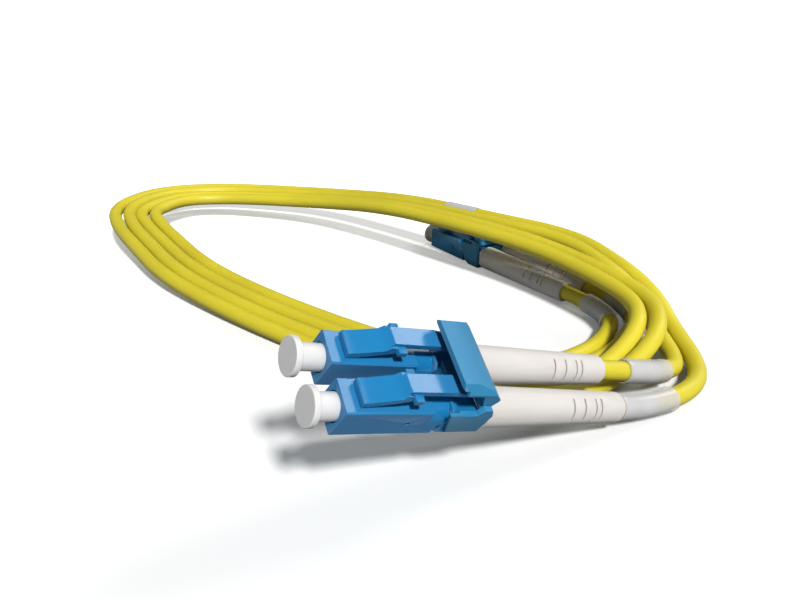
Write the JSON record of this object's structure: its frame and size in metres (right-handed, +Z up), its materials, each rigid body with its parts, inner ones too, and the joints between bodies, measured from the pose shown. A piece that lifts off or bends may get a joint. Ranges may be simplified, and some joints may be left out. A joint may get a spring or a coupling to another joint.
{
  "type": "fiber optic patch cord",
  "caption": "Duplex fibre optic patch cord, coiled, with small-form-factor plugs, clips, boots and dust caps at both ends",
  "frame": {"origin": "middle in plan of the two connector ends, at the height that the cord rests on", "axes": "+Z up, +Y away from the viewer, +X to the viewer's right"},
  "size_m": [0.1286, 0.1504, 0.0221],
  "materials": {
    "housing_blue": "moulded, slightly satin",
    "clip_blue": "fine matt grain",
    "boot_white": "soft matt elastomer",
    "cap_white": "soft moulded",
    "jacket_yellow": "smooth cord jacket",
    "sleeve_clear": "clear heat-shrink",
    "label_grey": "plain rolled label",
    "zirconia": "polished",
    "nickel": "plated",
    "spring_steel": "drawn wire",
    "rear_white": "moulded"
  },
  "bodies": {
    "cord": {"a_clip": "clip_blue", "a1_housing": "housing_blue", "a1_spring": "spring_steel", "a1_rear_body": "rear_white", "a1_crimp_sleeve": "nickel", "a1_boot": "boot_white", "a1_cord_end": "jacket_yellow", "a2_housing": "housing_blue", "a2_spring": "spring_steel", "a2_rear_body": "rear_white", "a2_crimp_sleeve": "nickel", "a2_boot": "boot_white", "a2_cord_end": "jacket_yellow", "b_clip": "clip_blue", "b1_housing": "housing_blue", "b1_spring": "spring_steel", "b1_rear_body": "rear_white", "b1_crimp_sleeve": "nickel", "b1_boot": "boot_white", "b1_cord_end": "jacket_yellow", "b2_housing": "housing_blue", "b2_spring": "spring_steel", "b2_rear_body": "rear_white", "b2_crimp_sleeve": "nickel", "b2_boot": "boot_white", "b2_cord_end": "jacket_yellow", "leg1_coil": "jacket_yellow", "leg1_lead_a": "jacket_yellow", "leg1_lead_b": "jacket_yellow", "a1_sleeve": "sleeve_clear", "a1_label": "label_grey", "b2_sleeve": "sleeve_clear", "b2_label": "label_grey", "strand_label": "label_grey", "leg2_coil": "jacket_yellow", "leg2_lead_a": "jacket_yellow", "leg2_lead_b": "jacket_yellow", "a2_sleeve": "sleeve_clear", "a2_label": "label_grey", "b1_sleeve": "sleeve_clear", "b1_label": "label_grey"},
    "a_trigger": {"a_trigger": "clip_blue"},
    "a1_latch": {"a1_latch": "housing_blue"},
    "a1_cap": {"a1_dust_cap": "cap_white"},
    "a1_float": {"a1_ferrule": "zirconia", "a1_carrier": "nickel"},
    "a2_latch": {"a2_latch": "housing_blue"},
    "a2_cap": {"a2_dust_cap": "cap_white"},
    "a2_float": {"a2_ferrule": "zirconia", "a2_carrier": "nickel"},
    "b_trigger": {"b_trigger": "clip_blue"},
    "b1_latch": {"b1_latch": "housing_blue"},
    "b1_cap": {"b1_dust_cap": "cap_white"},
    "b1_float": {"b1_ferrule": "zirconia", "b1_carrier": "nickel"},
    "b2_latch": {"b2_latch": "housing_blue"},
    "b2_cap": {"b2_dust_cap": "cap_white"},
    "b2_float": {"b2_ferrule": "zirconia", "b2_carrier": "nickel"}
  },
  "joints": [
    {"name": "a_trigger_press", "type": "hinge", "parent": "cord", "child": "a_trigger", "pos_m": [-0.00512, -0.04725, 0.01497], "axis": [0.3209, -0.7788, -0.539], "range_deg": [0, 20], "stiffness_Nm_per_rad": 0.001},
    {"name": "a1_latch_flex", "type": "hinge", "parent": "cord", "child": "a1_latch", "pos_m": [-0.01724, -0.05779, 0.01717], "axis": [-0.3209, 0.7788, 0.539], "range_deg": [0, 6.67], "stiffness_Nm_per_rad": 0.001},
    {"name": "a1_cap_pull", "type": "slide", "parent": "cord", "child": "a1_cap", "axis": [-0.8177, -0.515, 0.2571], "range_m": [0, 0.012]},
    {"name": "a1_ferrule_float", "type": "slide", "parent": "cord", "child": "a1_float", "axis": [0.8177, 0.515, -0.2571], "range_m": [0, 0.0004], "stiffness_N_per_m": 1000},
    {"name": "a2_latch_flex", "type": "hinge", "parent": "cord", "child": "a2_latch", "pos_m": [-0.01924, -0.05292, 0.02054], "axis": [-0.3209, 0.7788, 0.539], "range_deg": [0, 6.67], "stiffness_Nm_per_rad": 0.001},
    {"name": "a2_cap_pull", "type": "slide", "parent": "cord", "child": "a2_cap", "axis": [-0.8177, -0.515, 0.2571], "range_m": [0, 0.012]},
    {"name": "a2_ferrule_float", "type": "slide", "parent": "cord", "child": "a2_float", "axis": [0.8177, 0.515, -0.2571], "range_m": [0, 0.0004], "stiffness_N_per_m": 1000},
    {"name": "b_trigger_press", "type": "hinge", "parent": "cord", "child": "b_trigger", "pos_m": [0.00799, 0.04053, 0.00575], "axis": [-0.848, -0.5299, 0], "range_deg": [0, 20], "stiffness_Nm_per_rad": 0.001},
    {"name": "b1_latch_flex", "type": "hinge", "parent": "cord", "child": "b1_latch", "pos_m": [-0.00309, 0.05236, 0.0055], "axis": [0.848, 0.5299, 0], "range_deg": [0, 6.67], "stiffness_Nm_per_rad": 0.001},
    {"name": "b1_cap_pull", "type": "slide", "parent": "cord", "child": "b1_cap", "axis": [-0.5299, 0.848, 0], "range_m": [0, 0.012]},
    {"name": "b1_ferrule_float", "type": "slide", "parent": "cord", "child": "b1_float", "axis": [0.5299, -0.848, 0], "range_m": [0, 0.0004], "stiffness_N_per_m": 1000},
    {"name": "b2_latch_flex", "type": "hinge", "parent": "cord", "child": "b2_latch", "pos_m": [0.00221, 0.05567, 0.0055], "axis": [0.848, 0.5299, 0], "range_deg": [0, 6.67], "stiffness_Nm_per_rad": 0.001},
    {"name": "b2_cap_pull", "type": "slide", "parent": "cord", "child": "b2_cap", "axis": [-0.5299, 0.848, 0], "range_m": [0, 0.012]},
    {"name": "b2_ferrule_float", "type": "slide", "parent": "cord", "child": "b2_float", "axis": [0.5299, -0.848, 0], "range_m": [0, 0.0004], "stiffness_N_per_m": 1000}
  ],
  "couplings": [
    {"joint": "a1_latch_flex", "follows": "a_trigger_press", "ratio": 0.33333},
    {"joint": "a2_latch_flex", "follows": "a_trigger_press", "ratio": 0.33333},
    {"joint": "b1_latch_flex", "follows": "b_trigger_press", "ratio": 0.33333},
    {"joint": "b2_latch_flex", "follows": "b_trigger_press", "ratio": 0.33333}
  ]
}
